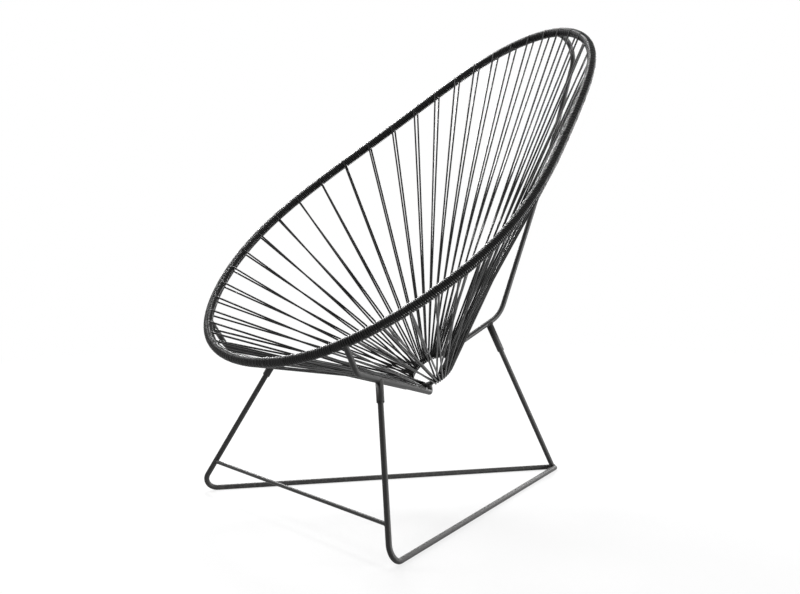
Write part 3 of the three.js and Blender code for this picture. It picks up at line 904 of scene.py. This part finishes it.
def placeCamera():
    sizes = cameraSettings
    camera = bpy.data.cameras.new("photoCamera")
    camera.sensor_width = sizes["sensor"]
    camera.lens = sizes["focalPixels"] / sizes["imageWidth"] * sizes["sensor"]
    camera.shift_x = -sizes["middleShift"][0] / sizes["imageWidth"]
    camera.shift_y = sizes["middleShift"][1] / sizes["imageWidth"]
    camera.clip_start = sizes["nearest"]
    camera.clip_end = sizes["furthest"]
    holder = bpy.data.objects.new("photoCamera", camera)
    holder.location = sizes["place"]
    holder.rotation_euler = (math.pi / 2 - sizes["elevation"], 0, sizes["azimuth"])
    bpy.context.collection.objects.link(holder)
    bpy.context.scene.camera = holder


white = grey(1.0)
floorLook = {
    "size": 16.0, "drop": 0.0002, "colour": grey(0.75), "roughness": 0.9,
    "nearShare": 0.8, "nearReach": 0.7, "farReach": 2.2,
}


# This is 1 for rays that see the background straight, by reflection or through glass.
def whiteToCamera(graph):
    path = graph.node("ShaderNodeLightPath", output="Is Camera Ray")
    return (path + path.of("Is Glossy Ray") + path.of("Is Transmission Ray")).clamped()


# The floor is white like the background far out, and shaded by the chair close to it.
def makeFloor():
    look = floorLook
    half, height = look["size"] / 2, -look["drop"]
    mesh = bpy.data.meshes.new("floor")
    corners = [(-half, -half, height), (half, -half, height), (half, half, height), (-half, half, height)]
    mesh.from_pydata(corners, [], [(0, 1, 2, 3)])
    material, graph, shader = startMaterial("paleFloor")
    finishMaterial(graph, shader, {}, {
        "Base Color": look["colour"], "Roughness": look["roughness"], "Specular IOR Level": 0.0})
    glow = graph.node("ShaderNodeEmission", inputs={"Color": white, "Strength": 1.0})
    lit = Wire(graph, shader.outputs[0])
    where = graph.node("ShaderNodeTexCoord", output="Object")
    away = graph.node("ShaderNodeVectorMath", {"operation": "LENGTH"}, {0: where}, 1)
    faded = ((away - look["nearReach"]) / (look["farReach"] - look["nearReach"])).clamped()
    share = look["nearShare"] + faded * (1 - look["nearShare"])
    mixed = graph.node("ShaderNodeMixShader", inputs={
        0: whiteToCamera(graph) * share, 1: lit, 2: glow})
    graph.tree.links.new(mixed.socket, graph.tree.nodes["Material Output"].inputs["Surface"])
    mesh.materials.append(material)
    floor = bpy.data.objects.new("floor", mesh)
    bpy.context.collection.objects.link(floor)


lightAim = Vector((0, 0, 0.45))
lightSettings = (
    {"name": "backLight", "place": (-1.2, 3.2, 0.9), "size": (2.2, 1.2), "power": 65.0},
    {"name": "topLight", "place": (-1.4, 0.6, 2.6), "size": (0.6, 0.6), "power": 70.0},
    {"name": "frontTopLight", "place": (-1.9, -0.9, 2.4), "size": (0.9, 0.7), "power": 60.0},
    {"name": "sideLight", "place": (-2.8, 1.1, 1.2), "size": (0.9, 0.8), "power": 70.0},
    {"name": "keyLight", "place": (2.5, 2.1, 0.4), "size": (0.9, 0.6), "power": 150.0},
)


def addLights():
    for sizes in lightSettings:
        light = bpy.data.lights.new(sizes["name"], "AREA")
        light.shape = "RECTANGLE"
        light.size, light.size_y = sizes["size"]
        light.energy = sizes["power"]
        holder = bpy.data.objects.new(sizes["name"], light)
        holder.location = sizes["place"]
        toAim = lightAim - Vector(sizes["place"])
        holder.rotation_euler = toAim.to_track_quat("-Z", "Y").to_euler()
        bpy.context.collection.objects.link(holder)


worldLook = {"colour": white, "strength": 0.15}


def makeWorld():
    world = bpy.data.worlds.new("studio")
    world.use_nodes = True
    bpy.context.scene.world = world
    graph = Graph(world.node_tree)
    lit = graph.node("ShaderNodeBackground", inputs={
        "Color": worldLook["colour"], "Strength": worldLook["strength"]})
    seen = graph.node("ShaderNodeBackground", inputs={"Color": white, "Strength": 1.0})
    mixed = graph.node("ShaderNodeMixShader", inputs={0: whiteToCamera(graph), 1: lit, 2: seen})
    graph.tree.links.new(mixed.socket, graph.tree.nodes["World Output"].inputs["Surface"])


placeCamera()
makeFloor()
addLights()
makeWorld()
bpy.context.scene.view_settings.view_transform = "Standard"
print("camera, floor and light set")
